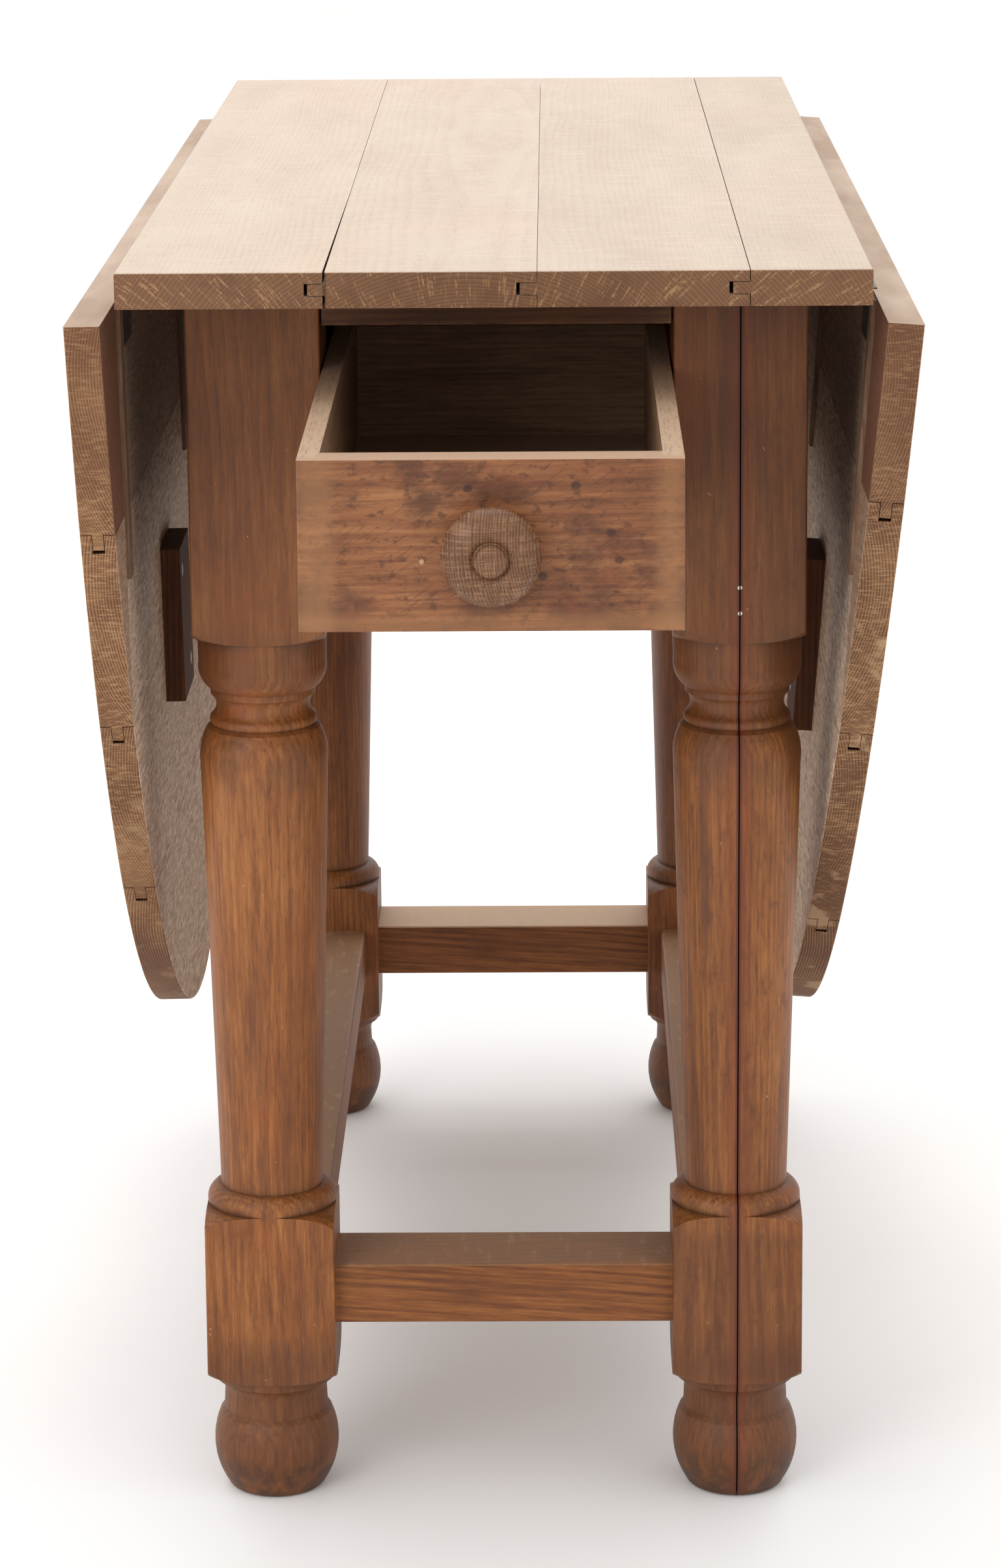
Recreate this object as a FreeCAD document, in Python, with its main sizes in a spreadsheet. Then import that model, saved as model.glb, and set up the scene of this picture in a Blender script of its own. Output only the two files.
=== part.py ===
"""Drop leaf table: an oak top with two hinged leaves on a turned-leg frame with one drawer.

X runs across the table (+X is the right leaf), Y along it (the drawer opens towards -Y) and Z is up.
The document is laid out about the middle of the legs at floor level, with the drawer drawn out and
both leaves hanging. The written parts are moved along Y by origin_shift, so that their origin lies
on the floor under the middle of the object's outline, which the open drawer makes longer in front.
"""
import FreeCAD, Part
import os
import re

import Sketcher

V = FreeCAD.Vector

# Driving dimensions in millimetres and degrees.
SIZES = {
    "table_height": 760,
    "screw_radius": 2,
    "origin_shift": 100,
    # the fixed top and the two leaves
    "top_length": 1010,
    "top_width": 411,
    "board_thick": 20,
    "tongue_long": 9.5,
    "tongue_thick": 6.2,
    "groove_play": 0.9,
    "groove_spare": 1.6,
    "crack_wide": 1.0,
    "crack_long": 340,
    "oval_reach": 726,
    "top_easing": 1.2,
    # leaf hinges
    "pin_drop": 8,
    "pin_outset": 0.5,
    "pin_radius": 2.5,
    "hinge_play": 0.05,
    "barrel_radius": 5.5,
    "leaf_gap": 1,
    "leaf_joint_gap": 0.5,
    "plate_long": 60,
    "plate_wide": 34,
    "plate_thick": 2.5,
    "plate_screw_radius": 1.6,
    "plate_screw_long": 14,
    "knuckle_gap": 0.4,
    "left_hang": 1.1,
    "right_hang": 4.3,
    # battens and support pads under the leaves
    "batten_wide": 16,
    "batten_proud": 2.4,
    "batten_let_in": 4,
    "batten_start": 3,
    "batten_end": 161,
    "batten_screw_near": 35,
    "batten_screw_far": 148,
    "batten_screw_long": 20,
    "pad_thick": 12,
    "pad_front": -200,
    "pad_rear": -132,
    "pad_screw_inset": 16,
    "pad_screw_long": 22,
    # legs
    "leg_square": 76.5,
    "leg_spread": 277,
    "leg_stride": 711.5,
    "leg_easing": 1.5,
    "seam_gap": 0.8,
    # aprons and drawer rails
    "apron_thick": 22,
    "apron_bottom": 536,
    "apron_inset": 22,
    "rear_inset": 4,
    "rail_inset": 3,
    "rail_gap": 1.2,
    "top_rail_bottom": 713,
    "bearer_top": 597.6,
    "tenon_thick": 10,
    "tenon_long": 25,
    "tenon_shoulder": 8,
    # glue blocks, drawer runners and kickers
    "block_wide": 30,
    "block_half": 30,
    "block_thick": 25,
    "block_screw_in": 17,
    "block_screw_long": 39,
    "runner_reach": 18,
    "runner_deep": 22,
    "guide_wide": 17,
    "guide_tall": 24,
    # stretchers
    "stretcher_bottom": 111,
    "stretcher_top": 147.5,
    "stretcher_wide": 57.5,
    "stretcher_easing": 2.5,
    "stub_wide": 30,
    "stub_tall": 16,
    "stub_long": 20,
    # drawer
    "drawer_wide": 198,
    "drawer_long": 500,
    "drawer_bottom": 598,
    "drawer_tall": 90,
    "drawer_open": 279,
    "front_thick": 20,
    "front_lap": 7,
    "side_thick": 11,
    "floor_thick": 6,
    "floor_up": 8,
    "floor_let_in": 4.5,
    "floor_play": 0.3,
    "back_inset": 2,
    "back_lower": 8,
    "front_easing": 1,
    "nail_radius": 1.1,
    "nail_head": 2.4,
    "nail_long": 26,
    "nail_inset": 6,
    "knob_tenon": 6,
    "knob_drop": 2.5,
    # leaf supports
    "fly_thick": 21,
    "fly_tall": 46,
    "fly_pivot": -166,
    "fly_arm_long": 310,
    "fly_pin": 4,
    "fly_air": 0.3,
    "fly_tip_tall": 20,
    "fly_screw_long": 34,
}

doc = FreeCAD.newDocument("DropLeafTable")
sheet = doc.addObject("Spreadsheet::Sheet", "Dims")
for row, (alias, value) in enumerate(SIZES.items(), 1):
    sheet.set(f"A{row}", alias)
    sheet.set(f"B{row}", str(value))
    sheet.setAlias(f"B{row}", alias)
doc.recompute()

nodes = []
ALIAS = re.compile("|".join(rf"\b{alias}\b" for alias in SIZES))

# Formulas that several pieces share.
UNDERSIDE = "(table_height - board_thick)"
LEG_X = "(leg_spread / 2)"
LEG_Y = "(leg_stride / 2)"
LEG_INNER_X = "(leg_spread / 2 - leg_square / 2)"
LEG_OUTER_X = "(leg_spread / 2 + leg_square / 2)"
LEG_INNER_Y = "(leg_stride / 2 - leg_square / 2)"
LEG_OUTER_Y = "(leg_stride / 2 + leg_square / 2)"
APRON_OUTER = f"({LEG_OUTER_X} - apron_inset)"
APRON_INNER = f"({LEG_OUTER_X} - apron_inset - apron_thick)"
PIN_X = "(top_width / 2 + pin_outset)"
PIN_Z = f"({UNDERSIDE} - pin_drop)"
FRONT_Y = f"(-{LEG_OUTER_Y} - drawer_open)"
DRAWER_TOP = "(drawer_bottom + drawer_tall)"
RAIL_FRONT = f"(-{LEG_OUTER_Y} + rail_inset)"
RAIL_BACK = f"(-{LEG_OUTER_Y} + rail_inset + apron_thick)"
REAR_INNER = f"({LEG_OUTER_Y} - rear_inset - apron_thick)"

TURN = {
    "x": FreeCAD.Rotation(V(0, 1, 0), 90),
    "y": FreeCAD.Rotation(V(1, 0, 0), -90),
    "z": FreeCAD.Rotation(),
    "-x": FreeCAD.Rotation(V(0, 1, 0), -90),
}
HINGE_ROWS = (-350, 200, 350)
PLATE_SCREWS = ((26, -20), (16, 0), (26, 20))
LEAF_JOINTS = {"left": (0, 124, 248, 369), "right": (0, 106, 255, 400)}
TOP_JOINTS = (-91.6, 23.5, 138.8)
JOINT_GAPS = (0.3, 0.3, 0.5)
BATTEN_ROWS = {"front": -404, "middle": 0, "rear": 404}
PAD_REACH = {-1: (188, 284), 1: (197, 305)}
BLOCK_ROWS = (-230, 0, 230)
FLY_SCREWS = ((-300, 12), (-250, 34), (-200, 12))
FRONT_NAILS = (16, 44, 72)
BACK_NAILS = (28, 60)


# ---------------------------------------------------------------- helpers
def formula(text):
    """The formula with each alias written as the document reads it."""
    return ALIAS.sub(lambda found: "Dims." + found[0], str(text))


def number(text):
    """The formula's value now."""
    return float(sheet.evalExpression(formula(text)))


def bind(item, slot, text):
    item.setExpression(slot, formula(text))


def node(label, item):
    """Keeps the item as one separate piece of the table."""
    item.Label = label
    nodes.append(item)
    return item


def box(name, x, y, z):
    """A block between two formulas on each axis."""
    item = doc.addObject("Part::Box", name)
    for axis, side, (low, high) in (("x", "Length", x), ("y", "Width", y), ("z", "Height", z)):
        bind(item, f".Placement.Base.{axis}", low)
        bind(item, side, f"({high}) - ({low})")
    return item


def rod(name, radius, start, length, along="z"):
    """A round bar from a start point along an axis."""
    item = doc.addObject("Part::Cylinder", name)
    item.Placement.Rotation = TURN[along]
    for axis, value in zip("xyz", start):
        bind(item, f".Placement.Base.{axis}", value)
    bind(item, "Radius", radius)
    bind(item, "Height", length)
    return item


def fuse(name, items):
    item = doc.addObject("Part::MultiFuse", name)
    item.Shapes = items
    item.Refine = True
    return item


def group(name, items):
    """Separate solids that share one node."""
    item = doc.addObject("Part::Compound", name)
    item.Links = items
    return item


def cut(name, base, tools):
    item = doc.addObject("Part::Cut", name)
    item.Base = base
    item.Tool = tools[0] if len(tools) == 1 else group(name + "_tools", tools)
    return item


def common(name, base, tool):
    item = doc.addObject("Part::Common", name)
    item.Base = base
    item.Tool = tool
    return item


def eased(name, base, radius, picks):
    """Rounds the edges of base that picks() accepts."""
    doc.recompute()
    item = doc.addObject("Part::Fillet", name)
    item.Base = base
    size = number(radius)
    item.Edges = [(i, size, size) for i, edge in enumerate(base.Shape.Edges, 1) if picks(edge)]
    return item


def lies_along(axis):
    """Picks straight edges along one axis."""
    def picks(edge):
        ends = [vertex.Point for vertex in edge.Vertexes]
        return len(ends) == 2 and abs(abs((ends[1] - ends[0]).normalize().dot(axis)) - 1) < 1e-6
    return picks


def sketch_on(body, name, plane, offset=0):
    """A sketch on one of the body's own planes, moved along that plane's normal."""
    sketch = body.newObject("Sketcher::SketchObject", name)
    face = next(item for item in body.Origin.OriginFeatures if item.Role == plane)
    sketch.AttachmentSupport = [(face, "")]
    sketch.MapMode = "FlatFace"
    sketch.AttachmentOffset = FreeCAD.Placement(V(0, 0, offset), FreeCAD.Rotation())
    return sketch


def hold(sketch, index, corner, point):
    """Ties one end of an edge to two formulas."""
    for kind, value in zip(("DistanceX", "DistanceY"), point):
        at = sketch.addConstraint(Sketcher.Constraint(kind, -1, 1, index, corner, number(value)))
        sketch.setExpression(f"Constraints[{at}]", formula(value))


def polygon(sketch, points):
    """A closed outline of straight edges with its corners at formulas."""
    spots = [V(number(a), number(b), 0) for a, b in points]
    for i, spot in enumerate(spots):
        sketch.addGeometry(Part.LineSegment(spot, spots[(i + 1) % len(spots)]), False)
    for i in range(len(spots)):
        sketch.addConstraint(Sketcher.Constraint("Coincident", i, 2, (i + 1) % len(spots), 1))
        hold(sketch, i, 1, points[i])


def profile(sketch, path):
    """A closed outline of lines and arcs: each step is a point, or a bulge point and a point."""
    spot = V(*path[0], 0)
    for step in path[1:]:
        end = V(step[-2], step[-1], 0)
        if len(step) == 2:
            sketch.addGeometry(Part.LineSegment(spot, end), False)
        else:
            sketch.addGeometry(Part.Arc(spot, V(step[0], step[1], 0), end), False)
        spot = end


def prism(label, plane, points, length, shift=0):
    """A body padded both ways from a plane's outline."""
    body = doc.addObject("PartDesign::Body", label)
    sketch = sketch_on(body, label + "_outline", plane, shift)
    polygon(sketch, points)
    pad = body.newObject("PartDesign::Pad", label + "_pad")
    pad.Profile = sketch
    pad.Midplane = True
    bind(pad, "Length", length)
    return body


def screw(name, head, along, reach, radius="screw_radius"):
    """A countersunk wood screw: its head's face is at head and its shank runs along."""
    flange = doc.addObject("Part::Cone", name + "_head")
    bind(flange, "Radius1", f"2 * {radius}")
    bind(flange, "Radius2", radius)
    bind(flange, "Height", radius)
    flange.Placement.Rotation = TURN[along]
    for axis, value in zip("xyz", head):
        bind(flange, f".Placement.Base.{axis}", value)
    return fuse(name, [flange, rod(name + "_shank", radius, head, reach, along)])


def sides():
    return (("left", -1), ("right", 1))


def span(side, low, high):
    """Two distances from the middle plane as a low and high X on one side."""
    return (f"-({high})", f"-({low})") if side < 0 else (low, high)


# ---------------------------------------------------------------- boards with tongues and grooves
def tongued_outline(low, high, tongue, groove, gap, mirrored=1):
    """The outline of a board, its tongue at its low edge and its groove at its high edge, X by Z."""
    middle = "(table_height - board_thick / 2)"
    edge = f"(({low}) + {gap})"
    tip = f"({edge} - tongue_long)"
    mouth = f"(({high}) - tongue_long - groove_spare)"
    half_tongue = "tongue_thick / 2"
    half_groove = "(tongue_thick + groove_play) / 2"
    points = [(edge, UNDERSIDE), (high, UNDERSIDE)]
    if groove:
        points += [(high, f"{middle} - {half_groove}"), (mouth, f"{middle} - {half_groove}"),
                   (mouth, f"{middle} + {half_groove}"), (high, f"{middle} + {half_groove}")]
    points += [(high, "table_height"), (edge, "table_height")]
    if tongue:
        points += [(edge, f"{middle} + {half_tongue}"), (tip, f"{middle} + {half_tongue}"),
                   (tip, f"{middle} - {half_tongue}"), (edge, f"{middle} - {half_tongue}")]
    return [(f"{mirrored} * ({x})", z) for x, z in points]


def hinge_recess(name, side, inward):
    """Blocks that let the hinge plates into the underside of the top or a leaf."""
    reach = f"({PIN_X} {'-' if inward else '+'} plate_wide)"
    low, high = (reach, PIN_X) if inward else (PIN_X, reach)
    return [box(f"{name}_{i}", span(side, low, high),
                (f"{y} - plate_long / 2", f"{y} + plate_long / 2"),
                (UNDERSIDE, f"{UNDERSIDE} + plate_thick"))
            for i, y in enumerate(HINGE_ROWS, 1)]


def top_boards(cleats):
    """The fixed top: four boards, each with its tongue in the groove of the board to its left."""
    edges = ("-top_width / 2",) + TOP_JOINTS + ("top_width / 2",)
    gaps = (0,) + JOINT_GAPS
    for i in range(4):
        name = f"top_board_{i + 1}"
        outline = tongued_outline(edges[i], edges[i + 1], i > 0, i < 3, gaps[i])
        board = prism(name + "_body", "XZ_Plane", outline, "top_length")
        tools = {0: hinge_recess(name + "_recess", -1, True), 3: hinge_recess(name + "_recess", 1, True)}
        holes = tools.get(i, []) + cleats.get(i, [])
        if i == 0:
            holes += hinge_screws["top_left"] + [crack()]
        if i == 3:
            holes += hinge_screws["top_right"]
        shaped = cut(name + "_cut", board, holes) if holes else board
        node(name, eased(name, shaped, "top_easing", top_end_edge))


def crack():
    """A long wedge that opens the first joint of the top at its front end."""
    front, joint = "(-top_length / 2 - 1)", TOP_JOINTS[0]
    points = [(f"{joint} - crack_wide", front), (f"{joint} + 1", front),
              (f"{joint} + 1", f"{front} + crack_long"), (joint, f"{front} + crack_long")]
    middle = number("table_height - board_thick / 2")
    return prism("top_crack", "XY_Plane", points, "board_thick + 2", middle)


def top_end_edge(edge):
    """Picks the arris round the top face at the two ends and the two long outer sides."""
    height = number("table_height")
    ends = number("top_length / 2")
    flanks = number("top_width / 2")
    reach = edge.BoundBox
    level = abs(reach.ZMin - height) < 1e-4 and abs(reach.ZMax - height) < 1e-4
    at_end = abs(abs(reach.YMin) - ends) < 1e-4 and reach.YLength < 1e-4
    at_flank = abs(abs(reach.XMin) - flanks) < 1e-4 and reach.XLength < 1e-4
    return level and (at_end or at_flank)


# ---------------------------------------------------------------- leaves, built raised and then hung
def hang(side, angle):
    """The turn about the hinge pins that brings a raised leaf to its hanging place."""
    pin = V(side * number(PIN_X), 0, number(PIN_Z))
    turn = FreeCAD.Rotation(V(0, 1, 0), side * (90 + number(angle)))
    return FreeCAD.Placement(V(0, 0, 0), turn, pin)


def leaf(word, side):
    """One leaf: four boards cut to the oval, three battens, a support pad and its hinge plates."""
    swing = hang(side, f"{word}_hang")
    joints = LEAF_JOINTS[word]
    starts = [f"({PIN_X} + {joint})" for joint in joints]
    starts[0] = f"({PIN_X} + leaf_gap)"
    name = f"leaf_{word}"
    plates = hinge_half(f"{name}_hinge", side, "leaf")
    fixings = leaf_fixings(name, side)
    for i in range(4):
        end = starts[i + 1] if i < 3 else "oval_reach * 1.01"
        outline = tongued_outline(f"-({end})", f"-({starts[i]})", i < 3, i > 0,
                                  "leaf_joint_gap" if i < 3 else 0, -side)
        strip = prism(f"{name}_strip_{i + 1}", "XZ_Plane", outline, "top_length * 1.06")
        label = f"{name}_board_{i + 1}"
        rounded = common(label + "_oval", strip, oval(label))
        holes = fixings["holes"].get(i, [])
        if i == 0:
            holes = holes + hinge_recess(label + "_recess", side, False) + hinge_screws[f"leaf_{word}"]
        piece = cut(label, rounded, holes) if holes else rounded
        node(label, piece).Placement = swing
    for label, item in fixings["pieces"].items():
        node(label, item).Placement = swing
    node(f"leaf_{word}_hinge_plates", plates).Placement = swing
    screws = fixings["screws"] + hinge_screws[f"leaf_{word}"]
    node(f"leaf_{word}_screws", group(f"leaf_{word}_screws", screws)).Placement = swing


def oval(label):
    """The oval outline of the opened top, as a slab as thick as the boards with its rim eased."""
    outline = doc.addObject("Part::Ellipse", label + "_outline")
    bind(outline, "MajorRadius", "oval_reach")
    bind(outline, "MinorRadius", f"top_length / 2 / sqrt(1 - ({PIN_X} / oval_reach) ^ 2)")
    bind(outline, ".Placement.Base.z", UNDERSIDE)
    slab = doc.addObject("Part::Extrusion", label + "_slab")
    slab.Base = outline
    slab.DirMode = "Custom"
    slab.Dir = V(0, 0, 1)
    slab.Solid = True
    bind(slab, "LengthFwd", "board_thick")
    return eased(label + "_slab_eased", slab, "top_easing",
                 lambda edge: not isinstance(edge.Curve, Part.Line))


def leaf_fixings(name, side):
    """Three battens let in across the inner joint and the pad that the support arm lifts."""
    pieces, screws, holes = {}, [], {0: [], 1: [], 2: []}
    face = f"({UNDERSIDE} - batten_proud)"
    for place, row in BATTEN_ROWS.items():
        label = f"{name}_batten_{place}"
        strip = box(label + "_strip", span(side, f"{PIN_X} + batten_start", f"{PIN_X} + batten_end"),
                    (f"{row} - batten_wide / 2", f"{row} + batten_wide / 2"),
                    (face, f"{UNDERSIDE} + batten_let_in"))
        mine = []
        for board, out in ((0, "batten_screw_near"), (1, "batten_screw_far")):
            fixing = screw(f"{label}_screw_{board}", (f"{side} * ({PIN_X} + {out})", row, face), "z",
                           "batten_screw_long")
            mine.append(fixing)
            holes[board] += [strip, fixing]
        screws += mine
        pieces[label] = cut(label, strip, mine)
    near, far = PAD_REACH[side]
    pad_face = f"({UNDERSIDE} - pad_thick)"
    label = f"{name}_pad"
    block = box(label + "_block", span(side, f"{PIN_X} + {near}", f"{PIN_X} + {far}"),
                ("pad_front", "pad_rear"), (pad_face, UNDERSIDE))
    corners = ((f"({near} + pad_screw_inset)", "(pad_front + pad_screw_inset)"),
               (f"({far} - pad_screw_inset)", "(pad_rear - pad_screw_inset)"))
    mine = []
    for i, (out, y) in enumerate(corners, 1):
        fixing = screw(f"{label}_screw_{i}", (f"{side} * ({PIN_X} + {out})", y, pad_face), "z",
                       "pad_screw_long")
        mine.append(fixing)
        joints = LEAF_JOINTS["left" if side < 0 else "right"][1:]
        holes[sum(number(out) > joint for joint in joints)].append(fixing)
    screws += mine
    pieces[label] = cut(label, block, mine)
    return {"pieces": pieces, "screws": screws, "holes": holes}


# ---------------------------------------------------------------- leaf hinges
def hinge_half(name, side, part):
    """One side of a row of hinges: plates with two knuckles under the top, or one on the leaf."""
    third = "(plate_long / 3)"
    halves = []
    for i, y in enumerate(HINGE_ROWS, 1):
        label = f"{name}_{i}"
        edge = PIN_X if part == "top" else f"({PIN_X} + leaf_gap / 4)"
        reach = f"({PIN_X} - plate_wide)" if part == "top" else f"({PIN_X} + plate_wide)"
        low, high = (reach, edge) if part == "top" else (edge, reach)
        web_low, web_high = ((f"{PIN_X} - barrel_radius", edge) if part == "top"
                             else (edge, f"{PIN_X} + barrel_radius"))
        plate = box(label + "_plate", span(side, low, high),
                    (f"{y} - plate_long / 2", f"{y} + plate_long / 2"),
                    (UNDERSIDE, f"{UNDERSIDE} + plate_thick"))
        if part == "top":
            runs = [(f"{y} - plate_long / 2", f"{y} - {third} / 2 - knuckle_gap"),
                    (f"{y} + {third} / 2 + knuckle_gap", f"{y} + plate_long / 2")]
            bore = "pin_radius"
        else:
            runs = [(f"{y} - {third} / 2", f"{y} + {third} / 2")]
            bore = "pin_radius + hinge_play"
        solids = [plate]
        for j, (start, end) in enumerate(runs, 1):
            barrel = rod(f"{label}_barrel_{j}", "barrel_radius", (f"{side} * {PIN_X}", start, PIN_Z),
                         f"({end}) - ({start})", "y")
            web = box(f"{label}_web_{j}", span(side, web_low, web_high), (start, end), (PIN_Z, UNDERSIDE))
            solids += [barrel, web]
        whole = fuse(label + "_whole", solids)
        hole = rod(label + "_bore", bore, (f"{side} * {PIN_X}", f"{y} - plate_long / 2 - 1", PIN_Z),
                   "plate_long + 2", "y")
        key = f"{part}_{'left' if side < 0 else 'right'}"
        mine = hinge_screws[key][(i - 1) * 3:i * 3]
        halves.append(cut(label, whole, [hole] + mine))
    return group(name, halves)


def make_hinge_screws():
    """Three screws through each hinge plate, up into the top or the leaf."""
    screws = {}
    for part, away in (("top", -1), ("leaf", 1)):
        for word, side in sides():
            row = []
            for i, y in enumerate(HINGE_ROWS):
                for j, (out, along) in enumerate(PLATE_SCREWS, 1):
                    spot = (f"{side} * ({PIN_X} + {away * out})", y + along, UNDERSIDE)
                    name = f"hinge_screw_{part}_{word}_{i + 1}_{j}"
                    row.append(screw(name, spot, "z", "plate_screw_long", "plate_screw_radius"))
            screws[f"{part}_{word}"] = row
    return screws


def hinges():
    """The fixed hinge plates and their pins."""
    for word, side in sides():
        node(f"hinge_plates_{word}", hinge_half(f"hinge_plates_{word}", side, "top"))
    pins = []
    for word, side in sides():
        for i, y in enumerate(HINGE_ROWS, 1):
            pins.append(rod(f"hinge_pin_{word}_{i}", "pin_radius",
                            (f"{side} * {PIN_X}", f"{y} - plate_long / 2", PIN_Z), "plate_long", "y"))
    node("hinge_pins", group("hinge_pins", pins))
    node("hinge_screws", group("hinge_screws", hinge_screws["top_left"] + hinge_screws["top_right"]))


# ---------------------------------------------------------------- legs
# Half outline of the turning, radius then height, from the foot up. Where the radius passes half the
# square the blank stays square, and the sloping ends of those stretches leave the round shoulders.
TURNING = [
    (0, 0), (25, 0), (28.4, 0.9, 29.9, 3), (37.4, 28, 33.6, 47), (31.2, 50), (30.8, 59),
    (31.9, 65.5, 36.2, 69.5), (37.6, 75), (48.5, 78.5, 56, 87), (56, 170), (49, 177, 38.4, 180),
    (36.8, 187.4, 30.4, 191.5), (37.4, 450), (37.0, 461, 33.2, 471.5), (30.6, 473.5),
    (31.4, 476.3, 30.2, 479), (27.4, 485, 30.6, 491.5), (30.8, 495), (35.7, 500.5, 37.5, 511),
    (37.8, 527), (47, 529.5, 56, 537), (56, 745), (0, 745), (0, 0),
]


def turning(name, x, y):
    """The solid of revolution that a lathe leaves of an endless blank."""
    outline = doc.addObject("Sketcher::SketchObject", name + "_profile")
    outline.Placement = FreeCAD.Placement(V(0, 0, 0), FreeCAD.Rotation(V(1, 0, 0), 90))
    profile(outline, TURNING)
    turned = doc.addObject("Part::Revolution", name + "_turning")
    turned.Source = outline
    turned.Axis = V(0, 0, 1)
    turned.Base = V(0, 0, 0)
    turned.Angle = 360
    turned.Solid = True
    bind(turned, ".Placement.Base.x", x)
    bind(turned, ".Placement.Base.y", y)
    return turned


def leg(label, sx, sy, mortises):
    """A square blank turned between its two blocks, with a mortise for each tenon."""
    x, y = f"({sx} * {LEG_X})", f"({sy} * {LEG_Y})"
    blank = box(label + "_blank", (f"{x} - leg_square / 2", f"{x} + leg_square / 2"),
                (f"{y} - leg_square / 2", f"{y} + leg_square / 2"), (0, UNDERSIDE))
    blank = eased(label + "_eased", blank, "leg_easing", lies_along(V(0, 0, 1)))
    shaped = common(label + "_shaped", blank, turning(label, x, y))
    return cut(label, shaped, mortises)


def legs():
    for row, sy in (("front", -1), ("rear", 1)):
        for word, sx in sides():
            label = f"leg_{row}_{word}"
            whole = leg(label + "_whole" if (row, word) == ("front", "right") else label, sx, sy,
                        mortises[sx, sy])
            if (row, word) != ("front", "right"):
                node(label, whole)
                continue
            # this leg is built up from two halves, its seam opened a little by shrinkage
            halves = {"inner": (0, f"{LEG_X} - seam_gap / 2"),
                      "outer": (f"{LEG_X} + seam_gap / 2", "leg_spread")}
            for half, across in halves.items():
                slab = box(f"{label}_{half}_slab", across, ("-leg_stride", 0), (0, "table_height"))
                node(f"{label}_{half}", common(f"{label}_{half}", whole, slab))


# ---------------------------------------------------------------- aprons, rails and stretchers
def rail(label, block, tenons, holes=()):
    """A rail with a tenon at each end; each tenon is also the cutter of its mortise."""
    for corner, tenon in tenons:
        mortises[corner].append(tenon)
    whole = fuse(label + "_whole", [block] + [tenon for _, tenon in tenons])
    node(label, cut(label, whole, list(holes)) if holes else whole)


def aprons(screws):
    """The side and rear aprons and the two rails of the drawer opening."""
    low, high = "apron_bottom", UNDERSIDE
    tenon_z = (f"{low} + tenon_shoulder", f"{high} - tenon_shoulder")
    core = f"({APRON_OUTER} - apron_thick / 2)"
    for word, sx in sides():
        label = f"apron_{word}"
        block = box(label + "_board", span(sx, APRON_INNER, APRON_OUTER),
                    (f"-{LEG_INNER_Y}", LEG_INNER_Y), (low, high))
        tenons = []
        for sy in (-1, 1):
            across = span(sx, f"{core} - tenon_thick / 2", f"{core} + tenon_thick / 2")
            tenon = box(f"{label}_tenon_{sy + 2}", across,
                        span(sy, LEG_INNER_Y, f"{LEG_INNER_Y} + tenon_long"), tenon_z)
            tenons.append(((sx, sy), tenon))
        rail(label, block, tenons, screws[sx])
    rear_core = f"({LEG_OUTER_Y} - rear_inset - apron_thick / 2)"
    cross_rail("apron_rear", 1, (REAR_INNER, f"{LEG_OUTER_Y} - rear_inset"), rear_core, (low, high), 0)
    front_core = f"(({RAIL_FRONT} + {RAIL_BACK}) / 2)"
    cross_rail("drawer_top_rail", -1, (RAIL_FRONT, RAIL_BACK), front_core, ("top_rail_bottom", high),
               "rail_gap", 4)
    cross_rail("drawer_bearer_rail", -1, (RAIL_FRONT, RAIL_BACK), front_core,
               ("apron_bottom", "bearer_top"), 0)


def cross_rail(label, sy, y, core, z, gap, shoulder="tenon_shoulder"):
    """A rail between the left and right legs of one end."""
    block = box(label + "_board", (f"-{LEG_INNER_X} + {gap}", f"{LEG_INNER_X} - {gap}"), y, z)
    tenons = []
    for word, sx in sides():
        across = span(sx, f"{LEG_INNER_X} - {gap}", f"{LEG_INNER_X} + tenon_long")
        tenon = box(f"{label}_tenon_{word}", across,
                    (f"{core} - tenon_thick / 2", f"{core} + tenon_thick / 2"),
                    (f"{z[0]} + {shoulder}", f"{z[1]} - {shoulder}"))
        tenons.append(((sx, sy), tenon))
    rail(label, block, tenons)


def stretchers():
    """Four flat stretchers round the foot of the frame."""
    z = ("stretcher_bottom", "stretcher_top")
    middle = "(stretcher_bottom + stretcher_top) / 2"
    stub_z = (f"{middle} - stub_tall / 2", f"{middle} + stub_tall / 2")
    for word, sy in (("front", -1), ("rear", 1)):
        label = f"stretcher_{word}"
        core = f"({sy} * {LEG_Y})"
        block = box(label + "_board", (f"-{LEG_INNER_X}", LEG_INNER_X),
                    (f"{core} - stretcher_wide / 2", f"{core} + stretcher_wide / 2"), z)
        block = eased(label + "_eased", block, "stretcher_easing", lies_along(V(1, 0, 0)))
        tenons = [((sx, sy), box(f"{label}_stub_{side}", span(sx, LEG_INNER_X, f"{LEG_INNER_X} + stub_long"),
                                 (f"{core} - stub_wide / 2", f"{core} + stub_wide / 2"), stub_z))
                  for side, sx in sides()]
        rail(label, block, tenons)
    for word, sx in sides():
        label = f"stretcher_{word}"
        core = f"({sx} * {LEG_X})"
        block = box(label + "_board", (f"{core} - stretcher_wide / 2", f"{core} + stretcher_wide / 2"),
                    (f"-{LEG_INNER_Y}", LEG_INNER_Y), z)
        block = eased(label + "_eased", block, "stretcher_easing", lies_along(V(0, 1, 0)))
        tenons = [((sx, sy), box(f"{label}_stub_{sy + 2}",
                                 (f"{core} - stub_wide / 2", f"{core} + stub_wide / 2"),
                                 span(sy, LEG_INNER_Y, f"{LEG_INNER_Y} + stub_long"), stub_z))
                  for sy in (-1, 1)]
        rail(label, block, tenons)


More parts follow.
